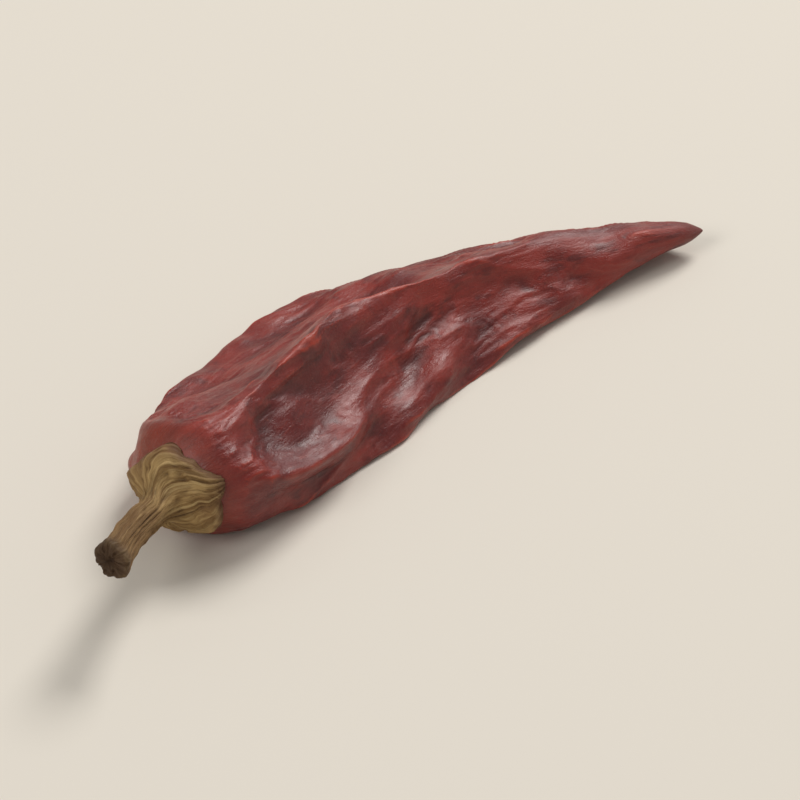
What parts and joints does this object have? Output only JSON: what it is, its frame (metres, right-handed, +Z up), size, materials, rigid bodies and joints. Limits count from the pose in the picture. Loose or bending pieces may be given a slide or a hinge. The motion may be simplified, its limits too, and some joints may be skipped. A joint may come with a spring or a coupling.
{
  "type": "dried chilli pepper",
  "caption": "Whole dried chilli pepper: long thin-skinned red pod shrivelled into folds, with a dry toothed calyx and a short stub of stalk at its broad end.",
  "frame": {"origin": "middle of the length and width of the whole pepper, on the ground it lies on", "axes": "+X along the pod from the stalk to the tip, +Z up"},
  "size_m": [0.0764, 0.0234, 0.0103],
  "materials": {
    "pod": "dry leathery skin, satin sheen, deep red",
    "stem": "dry fibrous calyx and stalk, matt straw to brown"
  },
  "bodies": {
    "root": {"pod": "pod", "stem": "stem"}
  },
  "joints": []
}
